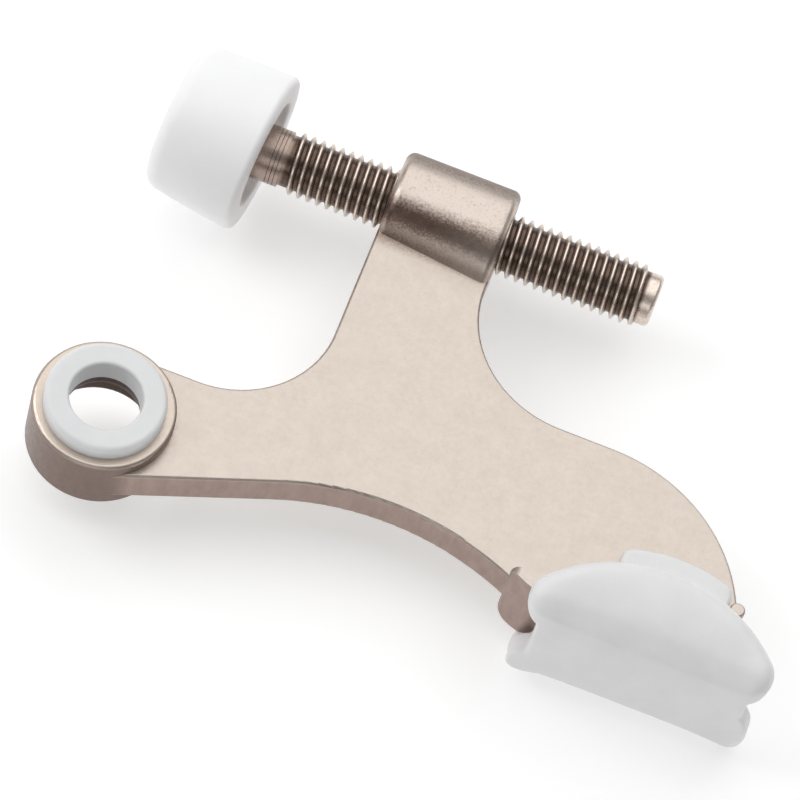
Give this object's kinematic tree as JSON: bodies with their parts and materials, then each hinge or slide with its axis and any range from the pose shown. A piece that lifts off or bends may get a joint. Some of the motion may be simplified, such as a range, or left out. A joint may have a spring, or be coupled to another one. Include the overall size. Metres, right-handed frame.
{
  "type": "hinge pin door stop",
  "caption": "Hinge-pin door stop: cast arm with ring and bush, threaded rod with a soft swivel bumper, and a soft pad pushed over a foot rail.",
  "frame": {"origin": "centre of the hinge-pin bore at the front face of the ring boss", "axes": "+Z along the hinge pin out of the bush, +X along the threaded rod towards its free end, +Y from the foot pad up to the rod"},
  "size_m": [0.0939, 0.0626, 0.0206],
  "materials": {
    "satin_nickel_casting": "satin nickel plated zinc casting",
    "satin_nickel_rod": "satin nickel plated steel",
    "white_nylon": "moulded nylon",
    "white_bumper_rubber": "moulded white rubber",
    "white_pad_rubber": "moulded white rubber, slightly translucent"
  },
  "bodies": {
    "arm": {"arm_casting": "satin_nickel_casting", "hinge_pin_bush": "white_nylon", "foot_pad": "white_pad_rubber"},
    "bumper": {"front_bumper": "white_bumper_rubber"},
    "rod": {"threaded_rod": "satin_nickel_rod"}
  },
  "joints": [
    {"name": "rod_travel", "type": "slide", "parent": "arm", "child": "bumper", "axis": [1, 0, 0], "range_m": [-0.018, 0.0125]},
    {"name": "rod_turn", "type": "hinge", "parent": "bumper", "child": "rod", "pos_m": [0, 0.04375, -0.00434], "axis": [1, 0, 0], "range_deg": [-5184, 3600]}
  ],
  "couplings": [
    {"joint": "rod_turn", "follows": "rod_travel", "rad_per_m": 5026.5}
  ]
}
